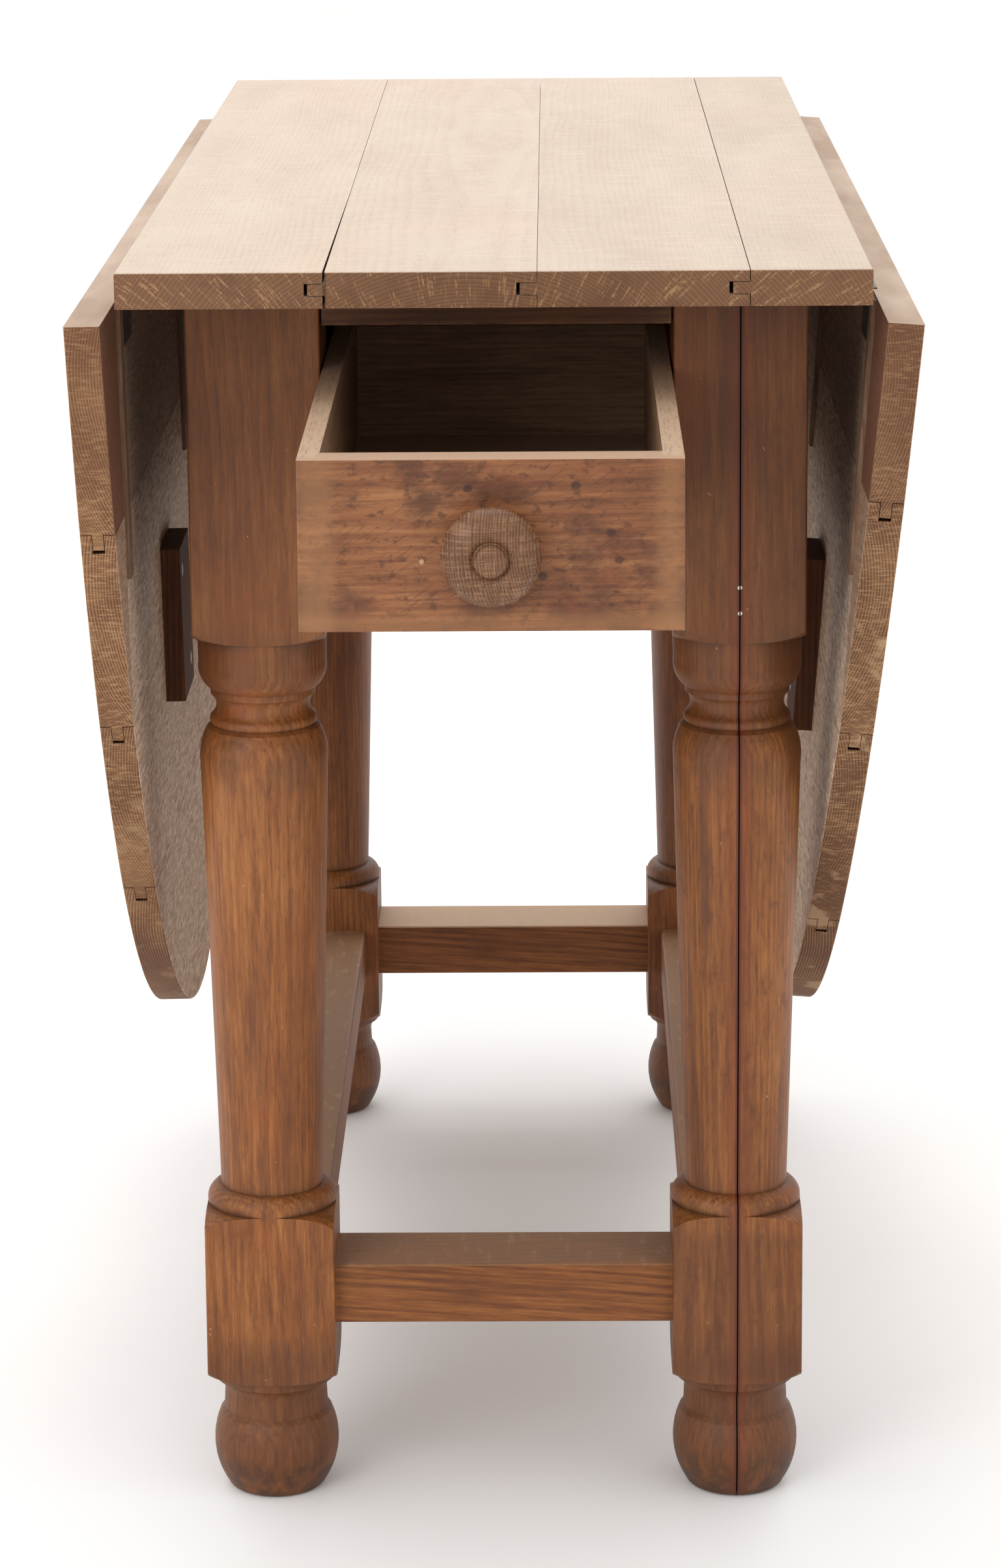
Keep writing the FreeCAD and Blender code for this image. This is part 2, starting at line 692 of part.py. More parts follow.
def runners():
    """Rebated runners that carry and guide the drawer, notched round the legs, and kickers above."""
    low, high = RAIL_BACK, REAR_INNER
    length = f"({high}) - ({low})"
    shift = -(number(low) + number(high)) / 2
    inner = "(drawer_wide / 2 - runner_reach)"
    guide = f"({LEG_INNER_X} + guide_wide)"
    bottom, crest = "bearer_top - runner_deep", "bearer_top + guide_tall"
    for word, sx in sides():
        points = [(inner, bottom), (APRON_INNER, bottom), (APRON_INNER, "bearer_top"),
                  (guide, "bearer_top"), (guide, crest), (LEG_INNER_X, crest),
                  (LEG_INNER_X, "bearer_top"), (inner, "bearer_top")]
        outline = [(f"{sx} * {x}", z) for x, z in points]
        label = f"drawer_runner_{word}"
        notches = [box(f"{label}_notch_{sy + 2}", span(sx, LEG_INNER_X, LEG_OUTER_X),
                       span(sy, LEG_INNER_Y, LEG_OUTER_Y), ("apron_bottom", UNDERSIDE)) for sy in (-1, 1)]
        node(label, cut(label, prism(label + "_length", "XZ_Plane", outline, length, shift), notches))
    for word, sx in sides():
        node(f"drawer_kicker_{word}", box(f"drawer_kicker_{word}", span(sx, inner, LEG_INNER_X),
                                          (low, high), ("top_rail_bottom", UNDERSIDE)))


def cleats(fly_screws):
    """Glue blocks under the top along the side aprons, each with a screw up into the top."""
    blocks, screws, holes = [], [], {0: [], 2: []}
    bottom = f"({UNDERSIDE} - block_thick)"
    for word, sx in sides():
        for i, y in enumerate(BLOCK_ROWS, 1):
            name = f"glue_block_{word}_{i}"
            spot = (f"{sx} * ({APRON_INNER} - block_screw_in)", y, bottom)
            fixing = screw(name + "_screw", spot, "z", "block_screw_long")
            block = box(name + "_wood", span(sx, f"{APRON_INNER} - block_wide", APRON_INNER),
                        (f"{y} - block_half", f"{y} + block_half"), (bottom, UNDERSIDE))
            blocks.append(cut(name, block, [fixing]))
            screws.append(fixing)
            holes[0 if sx < 0 else 2].append(fixing)
    node("glue_blocks", group("glue_blocks", blocks))
    node("frame_screws", group("frame_screws", screws + fly_screws))
    return holes


# ---------------------------------------------------------------- leaf supports
def fly(word, side):
    """A fixed rail on the apron's outer face and the arm that its knuckle carries."""
    top = f"({UNDERSIDE} - pad_thick - fly_air)"
    low = f"({top} - fly_tall)"
    third = "(fly_tall / 3)"
    axis_x = f"({APRON_OUTER} + fly_thick / 2)"
    label = f"fly_rail_{word}"
    knuckle = "(fly_thick / 2)"
    across = span(side, APRON_OUTER, f"{APRON_OUTER} + fly_thick")
    solids = [box(label + "_board", across, (f"-{LEG_INNER_Y}", f"fly_pivot - {knuckle} - 1"), (low, top))]
    fingers = ((low, f"{low} + {third}"), (f"{top} - {third}", top))
    for i, (start, end) in enumerate(fingers, 1):
        root = (f"fly_pivot - {knuckle} - 1", "fly_pivot")
        solids.append(box(f"{label}_finger_{i}", across, root, (start, end)))
        solids.append(rod(f"{label}_round_{i}", knuckle, (f"{side} * {axis_x}", "fly_pivot", start),
                          f"({end}) - ({start})"))
    bore = rod(label + "_bore", "fly_pin", (f"{side} * {axis_x}", "fly_pivot", f"{low} - 1"), "fly_tall + 2")
    screws = [screw(f"{label}_screw_{i}", (f"{side} * ({APRON_OUTER} + fly_thick)", y, f"{low} + {up}"),
                    "-x" if side > 0 else "x", "fly_screw_long")
              for i, (y, up) in enumerate(FLY_SCREWS, 1)]
    node(label, cut(label, fuse(label + "_whole", solids), [bore] + screws))
    fly_arm(f"fly_arm_{word}", side, axis_x, (low, top), third)
    pin = rod(f"fly_pin_{word}", "fly_pin", (f"{side} * {axis_x}", "fly_pivot", low), "fly_tall")
    return pin, screws


def fly_arm(label, side, axis_x, z, third):
    """A straight arm with a tapered tip, one knuckle finger and a bore that turns on the pin."""
    low, top = z
    start = "(fly_pivot + fly_thick / 2 + 1)"
    tip = "(fly_pivot + fly_arm_long)"
    points = [(start, low), (start, top), (tip, top), (tip, f"{top} - fly_tip_tall"),
              (f"{tip} - fly_arm_long / 5", f"{low} + fly_tall / 4"), (f"{tip} - fly_arm_long / 2", low)]
    body = doc.addObject("PartDesign::Body", label + "_beam")
    sketch = sketch_on(body, label + "_outline", "YZ_Plane", side * number(axis_x))
    polygon(sketch, points)
    pad = body.newObject("PartDesign::Pad", label + "_pad")
    pad.Profile = sketch
    pad.Midplane = True
    bind(pad, "Length", "fly_thick - 1")
    reach = "(fly_thick / 2 - 0.5)"
    inner = (f"{low} + {third} + fly_air", f"{top} - {third} - fly_air")
    finger = box(label + "_finger", (f"{side} * {axis_x} - {reach}", f"{side} * {axis_x} + {reach}"),
                 ("fly_pivot", start), inner)
    turned = rod(label + "_round", reach, (f"{side} * {axis_x}", "fly_pivot", inner[0]),
                 f"({inner[1]}) - ({inner[0]})")
    bore = rod(label + "_bore", "fly_pin + hinge_play", (f"{side} * {axis_x}", "fly_pivot", f"{low} - 1"),
               "fly_tall + 2")
    node(label, cut(label, fuse(label + "_whole", [body, finger, turned]), [bore]))


def flies():
    """Both supports; gives back the screws of each side, which also go into that side's apron."""
    pins, screws = [], {}
    for word, side in sides():
        pin, screws[side] = fly(word, side)
        pins.append(pin)
    node("fly_pins", group("fly_pins", pins))
    return screws


# ---------------------------------------------------------------- drawer
def drawer():
    """A nailed drawer: the front laps over the ends of the sides, the floor sits in grooves."""
    half = "(drawer_wide / 2)"
    inside = "(drawer_wide / 2 - side_thick)"
    back_y = f"({FRONT_Y} + drawer_long)"
    lap_y = f"({FRONT_Y} + front_lap)"
    board_y = f"({FRONT_Y} + front_thick)"
    floor_z = ("drawer_bottom + floor_up", "drawer_bottom + floor_up + floor_thick")
    rise = ("drawer_bottom", DRAWER_TOP)
    back_board = (f"{back_y} - back_inset - side_thick", f"{back_y} - back_inset")
    nails = []
    for word, sx in sides():
        spots = [(f"{lap_y} + nail_inset", f"drawer_bottom + {up}") for up in FRONT_NAILS]
        spots += [(f"{back_board[0]} + side_thick / 2", f"drawer_bottom + {up}") for up in BACK_NAILS]
        inward = "-x" if sx > 0 else "x"
        for i, (y, z) in enumerate(spots, 1):
            place = (f"{sx} * {half}", y, z)
            shank = rod(f"nail_{word}_{i}_shank", "nail_radius", place, "nail_long", inward)
            head = rod(f"nail_{word}_{i}_head", "nail_head", place, 1, inward)
            nails.append(fuse(f"nail_{word}_{i}", [shank, head]))
    node("drawer_nails", group("drawer_nails", nails))

    front = box("drawer_front_board", (f"-{half}", half), (FRONT_Y, board_y), rise)
    front = eased("drawer_front_eased", front, "front_easing",
                  lambda edge: edge.BoundBox.YMax < number(FRONT_Y) + 1e-3)
    laps = [box(f"drawer_front_lap_{word}", span(sx, inside, f"{half} + 1"), (lap_y, f"{board_y} + 1"),
                ("drawer_bottom - 1", f"{DRAWER_TOP} + 1")) for word, sx in sides()]
    slot = box("drawer_front_slot", (f"-{inside}", inside),
               (f"{board_y} - floor_let_in", f"{board_y} + 1"), floor_z)
    knob_z = "(drawer_bottom + drawer_tall / 2 - knob_drop)"
    socket = rod("drawer_front_socket", "knob_tenon", (0, FRONT_Y, knob_z), "front_thick", "y")
    node("drawer_front", cut("drawer_front", front, laps + [slot, socket] + nails))

    for word, sx in sides():
        label = f"drawer_side_{word}"
        board = box(label + "_board", span(sx, inside, half), (lap_y, back_y), rise)
        groove = box(label + "_groove", span(sx, f"{inside} - 1", f"{inside} + floor_let_in"),
                     (f"{lap_y} - 1", f"{back_y} + 1"), floor_z)
        node(label, cut(label, board, [groove] + nails))
    back = box("drawer_back_board", (f"-{inside}", inside), back_board,
               (floor_z[1], f"{DRAWER_TOP} - back_lower"))
    node("drawer_back", cut("drawer_back", back, nails))
    reach = f"({inside} + floor_let_in - floor_play)"
    node("drawer_floor", box("drawer_floor", (f"-{reach}", reach),
                             (f"{board_y} - floor_let_in + floor_play", back_y),
                             (f"{floor_z[0]} + hinge_play", f"{floor_z[1]} - hinge_play")))
    knob(knob_z)


# Half outline of the knob, radius then distance in front of the drawer, with its tenon behind.
KNOB = [
    (0, -20), (6, -20), (6, 0), (14, 0), (12.2, 3.5, 14, 7), (19, 9.6, 24.4, 13.2), (25.9, 17.2, 24.6, 21),
    (20.6, 26, 15.5, 27.6), (12, 27.4, 9.2, 26), (8.4, 26.4), (8.4, 29), (7.3, 31.2, 4.5, 32), (0, 32),
    (0, -20),
]


def knob(height):
    body = doc.addObject("PartDesign::Body", "drawer_knob")
    sketch = sketch_on(body, "drawer_knob_profile", "XY_Plane")
    profile(sketch, [tuple(-value if i % 2 else value for i, value in enumerate(step)) for step in KNOB])
    turned = body.newObject("PartDesign::Revolution", "drawer_knob_turning")
    turned.Profile = sketch
    turned.ReferenceAxis = (sketch, ["V_Axis"])
    turned.Angle = 360
    bind(body, ".Placement.Base.y", FRONT_Y)
    bind(body, ".Placement.Base.z", height)
    node("drawer_knob", body)


# ---------------------------------------------------------------- assembly
mortises = {(sx, sy): [] for sx in (-1, 1) for sy in (-1, 1)}
hinge_screws = make_hinge_screws()
fly_screws = flies()
aprons(fly_screws)
stretchers()
legs()
runners()
top_boards(cleats(fly_screws[-1] + fly_screws[1]))
hinges()
for word, side in sides():
    leaf(word, side)
drawer()

doc.recompute()
for item in doc.Objects:
    if "Invalid" in item.State or "Error" in item.State:
        raise RuntimeError(f"{item.Label} did not build: {item.State}")

os.makedirs("parts", exist_ok=True)
for item in nodes:
    shape = item.Shape.copy()
    if shape.isNull() or not shape.isValid() or not shape.Solids:
        raise RuntimeError(f"{item.Label} is not a valid solid")
    shape.translate(V(0, number("origin_shift"), 0))
    shape.exportStep(f"parts/{item.Label}.step")
    print(f"{item.Label:28s} {len(shape.Solids):3d} solids {shape.Volume / 1000:10.1f} cm3")
print(len(nodes), "nodes")
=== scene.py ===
"""The looks of an oak drop leaf table: worn, sanded wood in its own grain, iron hinges, a pale studio."""

import math

import bpy
from mathutils import Euler, Matrix, Vector


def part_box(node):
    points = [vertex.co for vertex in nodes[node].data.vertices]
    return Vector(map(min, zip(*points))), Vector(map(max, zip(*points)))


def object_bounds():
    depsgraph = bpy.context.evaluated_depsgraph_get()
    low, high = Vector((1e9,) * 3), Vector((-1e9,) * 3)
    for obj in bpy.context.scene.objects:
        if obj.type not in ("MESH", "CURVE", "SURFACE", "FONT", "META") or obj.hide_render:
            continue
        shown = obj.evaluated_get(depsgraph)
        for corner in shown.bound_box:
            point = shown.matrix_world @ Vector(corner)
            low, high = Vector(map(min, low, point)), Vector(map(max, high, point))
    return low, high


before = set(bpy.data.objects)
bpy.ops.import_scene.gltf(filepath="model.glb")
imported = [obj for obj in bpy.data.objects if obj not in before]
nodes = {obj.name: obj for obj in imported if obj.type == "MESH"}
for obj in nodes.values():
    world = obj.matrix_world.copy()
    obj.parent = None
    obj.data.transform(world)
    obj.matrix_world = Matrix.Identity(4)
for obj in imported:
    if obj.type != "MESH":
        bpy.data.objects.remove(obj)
cad_low, cad_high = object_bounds()

SIDES = {"left": -1, "right": 1}


# ---------------------------------------------------------------------------------------------
# Node tools
# ---------------------------------------------------------------------------------------------


def srgb(red, green, blue):
    """A screen colour, 0 to 255 a channel, as the linear colour that shaders take."""
    channels = [value / 255 for value in (red, green, blue)]
    linear = [c / 12.92 if c <= 0.04045 else ((c + 0.055) / 1.055) ** 2.4 for c in channels]
    return (*linear, 1.0)


def scaled(colour, share):
    """The colour made lighter or darker."""
    return (*[min(1.0, channel * share) for channel in colour[:3]], 1.0)


class Tools:
    """Short calls that add nodes to one tree and join them up."""

    def __init__(self, tree):
        self.tree = tree

    def add(self, kind, plugs=None, **settings):
        node = self.tree.nodes.new(kind)
        for name, value in settings.items():
            setattr(node, name, value)
        for socket, value in (plugs or {}).items():
            self.plug(node.inputs[socket], value)
        return node

    def plug(self, socket, value):
        if isinstance(value, bpy.types.NodeSocket):
            self.tree.links.new(value, socket)
        else:
            socket.default_value = value

    def math(self, operation, first, second=0.0):
        return self.add("ShaderNodeMath", {0: first, 1: second}, operation=operation).outputs[0]

    def vector_math(self, operation, first, second):
        node = self.add("ShaderNodeVectorMath", {0: first, 1: second}, operation=operation)
        return node.outputs["Value" if operation in ("DOT_PRODUCT", "DISTANCE") else "Vector"]

    def spread(self, value, low, high, to_low=0.0, to_high=1.0, smooth=False):
        """The value carried from one range to another and held inside it."""
        plugs = {"Value": value, "From Min": low, "From Max": high, "To Min": to_low, "To Max": to_high}
        kind = "SMOOTHSTEP" if smooth else "LINEAR"
        return self.add("ShaderNodeMapRange", plugs, interpolation_type=kind).outputs["Result"]

    def stretched(self, vector, size):
        """The vector scaled by its own factor along each axis."""
        return self.vector_math("MULTIPLY", vector, size)

    def noise(self, vector, detail=2.0, roughness=0.5, distortion=0.0):
        plugs = {"Vector": vector, "Scale": 1.0, "Detail": detail, "Roughness": roughness}
        plugs["Distortion"] = distortion
        return self.add("ShaderNodeTexNoise", plugs).outputs["Fac"]

    def mix(self, share, first, second):
        """The first colour, with a share of the second over it."""
        node = self.add("ShaderNodeMix", data_type="RGBA", blend_type="MIX")
        for socket, value in ((0, share), (6, first), (7, second)):
            self.plug(node.inputs[socket], value)
        return node.outputs[2]

    def ramp(self, value, stops):
        """A colour for the value, from stops of a place from 0 to 1 and a colour."""
        node = self.add("ShaderNodeValToRGB", {0: value})
        elements = node.color_ramp.elements
        while len(elements) < len(stops):
            elements.new(0.5)
        for element, (place, colour) in zip(elements, stops):
            element.position = place
            element.color = colour
        return node.outputs["Color"]

    def total(self, values):
        """The sum of two or more values."""
        result = values[0]
        for value in values[1:]:
            result = self.math("ADD", result, value)
        return result


# ---------------------------------------------------------------------------------------------
# Oak: one solid pattern of rings, rays, pores and fibres that every wooden piece is cut from
# ---------------------------------------------------------------------------------------------

GRAIN_INPUTS = {"Place": "NodeSocketVector", "Ring": "NodeSocketFloat", "Wave": "NodeSocketFloat"}
GRAIN_OUTPUTS = ("Early", "Pore", "Fibre", "Ray", "Cloud")
RAYS_PER_METRE = 900
RAY_RADIUS = 0.15  # metres from the pith at which the rays have that spacing


def grain_group():
    """The oak pattern. Place is in metres, with X along the grain and the pith on the X axis.

    Ring is the width of a year's ring and Wave how far the grain wanders, both in metres. The outputs run
    from about 0 to 1: porous early wood, pores, fibres, rays and slow changes of tone.
    """
    tree = bpy.data.node_groups.new("oak_grain", "ShaderNodeTree")
    for name, kind in GRAIN_INPUTS.items():
        tree.interface.new_socket(name, in_out="INPUT", socket_type=kind)
    for name in GRAIN_OUTPUTS:
        tree.interface.new_socket(name, in_out="OUTPUT", socket_type="NodeSocketFloat")
    t = Tools(tree)
    given = t.add("NodeGroupInput").outputs
    made = t.add("NodeGroupOutput").inputs

    plugs = {"Vector": t.stretched(given["Place"], (2.2, 9, 9)), "Scale": 1.0, "Detail": 2.0}
    wander = t.add("ShaderNodeTexNoise", plugs).outputs["Color"]
    drift = t.stretched(t.vector_math("SUBTRACT", wander, (0.5, 0.5, 0.5)), (0, 1, 1))
    sway = t.add("ShaderNodeVectorMath", {0: drift, "Scale": given["Wave"]}, operation="SCALE").outputs[0]
    bent = t.vector_math("ADD", given["Place"], sway)
    axes = t.add("ShaderNodeSeparateXYZ", {0: bent}).outputs
    radius = t.vector_math("DISTANCE", t.stretched(bent, (0, 1, 1)), (0, 0, 0))
    turn = t.math("ARCTAN2", axes["Z"], axes["Y"])

    uneven = t.noise(t.add("ShaderNodeCombineXYZ", {0: t.math("MULTIPLY", radius, 60)}).outputs[0], 1.0)
    years = t.math("ADD", t.math("DIVIDE", radius, given["Ring"]), t.math("MULTIPLY", uneven, 3))
    season = t.math("FRACT", years)
    rise = t.spread(season, 0.0, 0.15, smooth=True)
    fall = t.spread(season, 0.15, 0.85, 1.0, 0.0, smooth=True)
    early = t.math("MULTIPLY", rise, fall)

    coarse = t.spread(t.noise(t.stretched(bent, (75, 720, 720)), 1.0), 0.54, 0.68)
    fine = t.spread(t.noise(t.stretched(bent, (130, 1500, 1500)), 1.0), 0.52, 0.66)
    dashes = t.math("ADD", t.math("MULTIPLY", coarse, 0.7), t.math("MULTIPLY", fine, 0.5))
    pores = t.math("MULTIPLY", dashes, t.spread(early, 0.0, 1.0, 0.45, 1.0))

    along = t.math("MULTIPLY", axes["X"], 120)
    across = t.math("MULTIPLY", turn, RAYS_PER_METRE * RAY_RADIUS)
    outward = t.math("MULTIPLY", radius, 70)
    sheets = t.noise(t.add("ShaderNodeCombineXYZ", {0: along, 1: across, 2: outward}).outputs[0], 1.5)

    t.plug(made["Early"], early)
    t.plug(made["Pore"], pores)
    t.plug(made["Fibre"], t.noise(t.stretched(bent, (24, 460, 460)), 3.0, 0.65))
    t.plug(made["Ray"], t.spread(sheets, 0.54, 0.68, smooth=True))
    t.plug(made["Cloud"], t.noise(t.stretched(bent, (6, 20, 20)), 3.0, 0.6))
    return tree


GRAIN = grain_group()

# For grain along each axis: the turn in degrees that lays it along X, and the axis itself
TURNS = {"x": (0, 0, 0), "y": (0, 0, -90), "z": (0, 90, 0)}
AXES = {"x": (1, 0, 0), "y": (0, 1, 0), "z": (0, 0, 1)}


class Wood:
    """One piece's wood while it is made: the node tools, the grain's outputs and the colour so far.

    Shares and masks run from 0 to 1. Places and reaches are in metres, in the piece's own frame.
    """

    def __init__(self, name, grain, pith, slope=(0, 0, 0), ring=0.0028, wave=0.008):
        self.material = bpy.data.materials.new(name)
        self.material.use_nodes = True
        self.tools = t = Tools(self.material.node_tree)
        self.shader = self.material.node_tree.nodes["Principled BSDF"]
        place = t.add("ShaderNodeTexCoord").outputs
        self.place = place["Object"]
        self.normal = place["Normal"]
        turn = Euler([math.radians(a + b) for a, b in zip(TURNS[grain], slope)])
        shift = -(turn.to_matrix() @ Vector(pith))
        mapping = t.add("ShaderNodeMapping", {0: self.place, 1: shift, 2: turn}, vector_type="POINT")
        cut = t.add("ShaderNodeGroup", node_tree=GRAIN)
        t.plug(cut.inputs["Place"], mapping.outputs[0])
        t.plug(cut.inputs["Ring"], ring)
        t.plug(cut.inputs["Wave"], wave)
        self.cut = cut.outputs
        self.along = mapping.outputs[0]
        self.end = self.facing(AXES[grain], 0.55, 0.85, both=True)
        self.heights = []
        self.colour = None

    def facing(self, axis, low=0.5, high=0.8, both=False):
        """1 where the surface looks along the axis, 0 elsewhere."""
        t = self.tools
        lean = t.vector_math("DOT_PRODUCT", self.normal, axis)
        if both:
            lean = t.math("ABSOLUTE", lean)
        return t.spread(lean, low, high, smooth=True)

    def within(self, axis, low, high, soft=0.01):
        """1 where the place along X, Y or Z (0, 1 or 2) is between low and high, fading over soft metres."""
        t = self.tools
        value = t.add("ShaderNodeSeparateXYZ", {0: self.place}).outputs[axis]
        rising = t.spread(value, low - soft / 2, low + soft / 2, smooth=True)
        falling = t.spread(value, high - soft / 2, high + soft / 2, 1.0, 0.0, smooth=True)
        return t.math("MULTIPLY", rising, falling)

    def near(self, centre, size, edge=0.4):
        """1 inside an ellipsoid about the centre, fading over its outer share, edge, with a wavy outline."""
        t = self.tools
        offset = t.vector_math("SUBTRACT", self.place, centre)
        wave = t.add("ShaderNodeTexNoise", {"Vector": self.place, "Scale": 0.6 / max(size), "Detail": 2.0})
        sway = t.vector_math("SUBTRACT", wave.outputs["Color"], (0.5, 0.5, 0.5))
        offset = t.vector_math("DIVIDE", offset, size)
        offset = t.vector_math("ADD", offset, t.stretched(sway, (0.9, 0.9, 0.9)))
        return t.spread(t.vector_math("DISTANCE", offset, (0, 0, 0)), 1 - edge, 1.0, 1.0, 0.0, smooth=True)

    def patches(self, scale, low, high, detail=3.0):
        """Soft-edged patches of noise; scale is in features per metre along X, Y and Z."""
        t = self.tools
        return t.spread(t.noise(t.stretched(self.place, scale), detail, 0.6), low, high, smooth=True)

    def body(self, dark, middle, light, ring=0.1, fibre=0.6, cloud=0.5):
        """The wood's own colour, from its rings, fibres and slow changes."""
        t = self.tools
        shifts = []
        for output, share, mean in (("Early", -ring, 0.35), ("Fibre", fibre, 0.5), ("Cloud", cloud, 0.5)):
            offset = t.math("SUBTRACT", self.cut[output], mean)
            shifts.append(t.math("MULTIPLY", offset, 2 * share))
        tone = t.total([0.5] + shifts)
        self.colour = t.ramp(tone, [(0.1, dark), (0.5, middle), (0.9, light)])

    def pores(self, colour, share):
        """Short dark pores, sunk into the relief."""
        t = self.tools
        self.paint(colour, t.math("MULTIPLY", self.cut["Pore"], share))
        self.heights.append((self.cut["Pore"], -0.25))

    def rays(self, colour, share, mask=None):
        """Pale ray flecks, everywhere or inside a mask."""
        t = self.tools
        amount = t.math("MULTIPLY", self.cut["Ray"], share)
        if mask is not None:
            amount = t.math("MULTIPLY", amount, mask)
        self.paint(colour, amount)

    def paint(self, colour, amount):
        """Lays a colour over the wood; amount is a number or a mask."""
        self.colour = self.tools.mix(amount, self.colour, colour)

    def tint(self, colour, share, mask):
        """Lays a share of a colour over the wood inside a mask."""
        self.paint(colour, self.tools.math("MULTIPLY", mask, share))

    def openness(self, reach, inside=False):
        """1 where nothing of the same piece is within reach, looking out or, with inside, into the wood."""
        settings = {"samples": 6, "only_local": True, "inside": inside}
        return self.tools.add("ShaderNodeAmbientOcclusion", {"Distance": reach}, **settings).outputs["AO"]

    def painted_cove_shade(self, colour, share, reach):
        """Painted shade: darkens coves and corners of the same piece, where its own wood closes round them.
        """
        self.paint(colour, self.tools.spread(self.openness(reach), 0.45, 0.95, share, 0.0))

    def edges(self, colour, share, reach):
        """Wear along the piece's own arrises, broken up by noise."""
        t = self.tools
        arris = t.spread(self.openness(reach, inside=True), 0.72, 0.5)
        rub = t.math("MULTIPLY", arris, self.patches((60, 60, 60), 0.35, 0.65))
        self.paint(colour, t.math("MULTIPLY", rub, share))

    def finish(self, roughness):
        """Joins colour, roughness and relief to the shader, and gives the finished material."""
        change = 0.12
        relief_share = 0.35
        relief_depth = 0.0006
        t = self.tools
        t.plug(self.shader.inputs["Base Color"], self.colour)
        rough = t.math("ADD", t.math("MULTIPLY", self.cut["Fibre"], 2 * change), roughness - change)
        t.plug(self.shader.inputs["Roughness"], rough)
        self.shader.inputs["Specular IOR Level"].default_value = 0.35
        parts = [(self.cut["Fibre"], 0.35), (self.cut["Early"], -0.15)] + self.heights
        height = t.total([t.math("MULTIPLY", value, share) for value, share in parts])
        plugs = {"Strength": relief_share, "Distance": relief_depth, "Height": height}
        bump = t.add("ShaderNodeBump", plugs)
        t.plug(self.shader.inputs["Normal"], bump.outputs[0])
        return self.material


def dress(name, material):
    """Gives a CAD node its material."""
    slots = nodes[name].data.materials
    slots.clear()
    slots.append(material)


def centre(name):
    """The middle of a CAD node's box."""
    low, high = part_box(name)
    return (low + high) / 2


# ---------------------------------------------------------------------------------------------
# Looks
# ---------------------------------------------------------------------------------------------

POST_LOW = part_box("apron_rear")[0].z  # the underside of the legs' square posts
FOOT_HIGH = 0.1
BLOCK_LOW, BLOCK_HIGH = 0.08, 0.17
SEAM_MARKS = (0.545, 0.56)


def top_board(name, number):
    """Raw sanded oak on top, with brown end grain crossed by fine pale rays at the ends."""
    pith_beside, pith_below = ((0.1, -0.1), (0.03, -0.14), (-0.09, -0.12), (-0.14, -0.1))[number]
    pith = centre(name) + Vector((pith_beside, 1.7 * number, pith_below))
    wood = Wood(f"wood_{name}", "y", pith, ring=0.0022, wave=0.012)
    t = wood.tools
    warm = (1.0, 0.98, 0.96, 0.94)[number]
    tones = [scaled(tone, warm) for tone in (srgb(184, 162, 143), srgb(198, 178, 158), srgb(208, 190, 171))]
    wood.body(*tones, ring=0.05, fibre=0.3, cloud=0.45)
    wood.tint(srgb(206, 170, 146), 0.35, wood.patches((7, 2.5, 7), 0.5, 0.75))
    wood.pores(srgb(150, 112, 86), 0.22)
    ripple = t.spread(t.noise(t.stretched(wood.place, (34, 240, 30)), 2.0), 0.5, 0.66)
    wood.tint(srgb(216, 198, 178), 0.25, ripple)
    rim = wood.facing((0, 0, 1), 0.75, 0.35)
    wood.tint(srgb(116, 77, 46), 0.96, rim)
    wood.tint(srgb(84, 54, 34), 0.5, t.math("MULTIPLY", rim, wood.cut["Early"]))
    wood.tint(srgb(92, 60, 38), 0.5, t.math("MULTIPLY", rim, wood.patches((40, 40, 40), 0.5, 0.7)))
    beads = t.noise(t.stretched(wood.place, (500, 90, 500)), 1.0)
    wood.rays(srgb(168, 128, 88), 0.75, t.math("MULTIPLY", rim, t.spread(beads, 0.35, 0.6)))
    wood.tint(srgb(120, 92, 68), 0.7, wood.facing((0, 0, -1)))
    if number < 2:
        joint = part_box("top_board_1")[1].x
        crack = wood.within(0, joint - 0.001, joint + 0.001, 0.001)
        wood.tint(srgb(70, 44, 28), 0.8, t.math("MULTIPLY", rim, crack))
    return wood.finish(0.62)


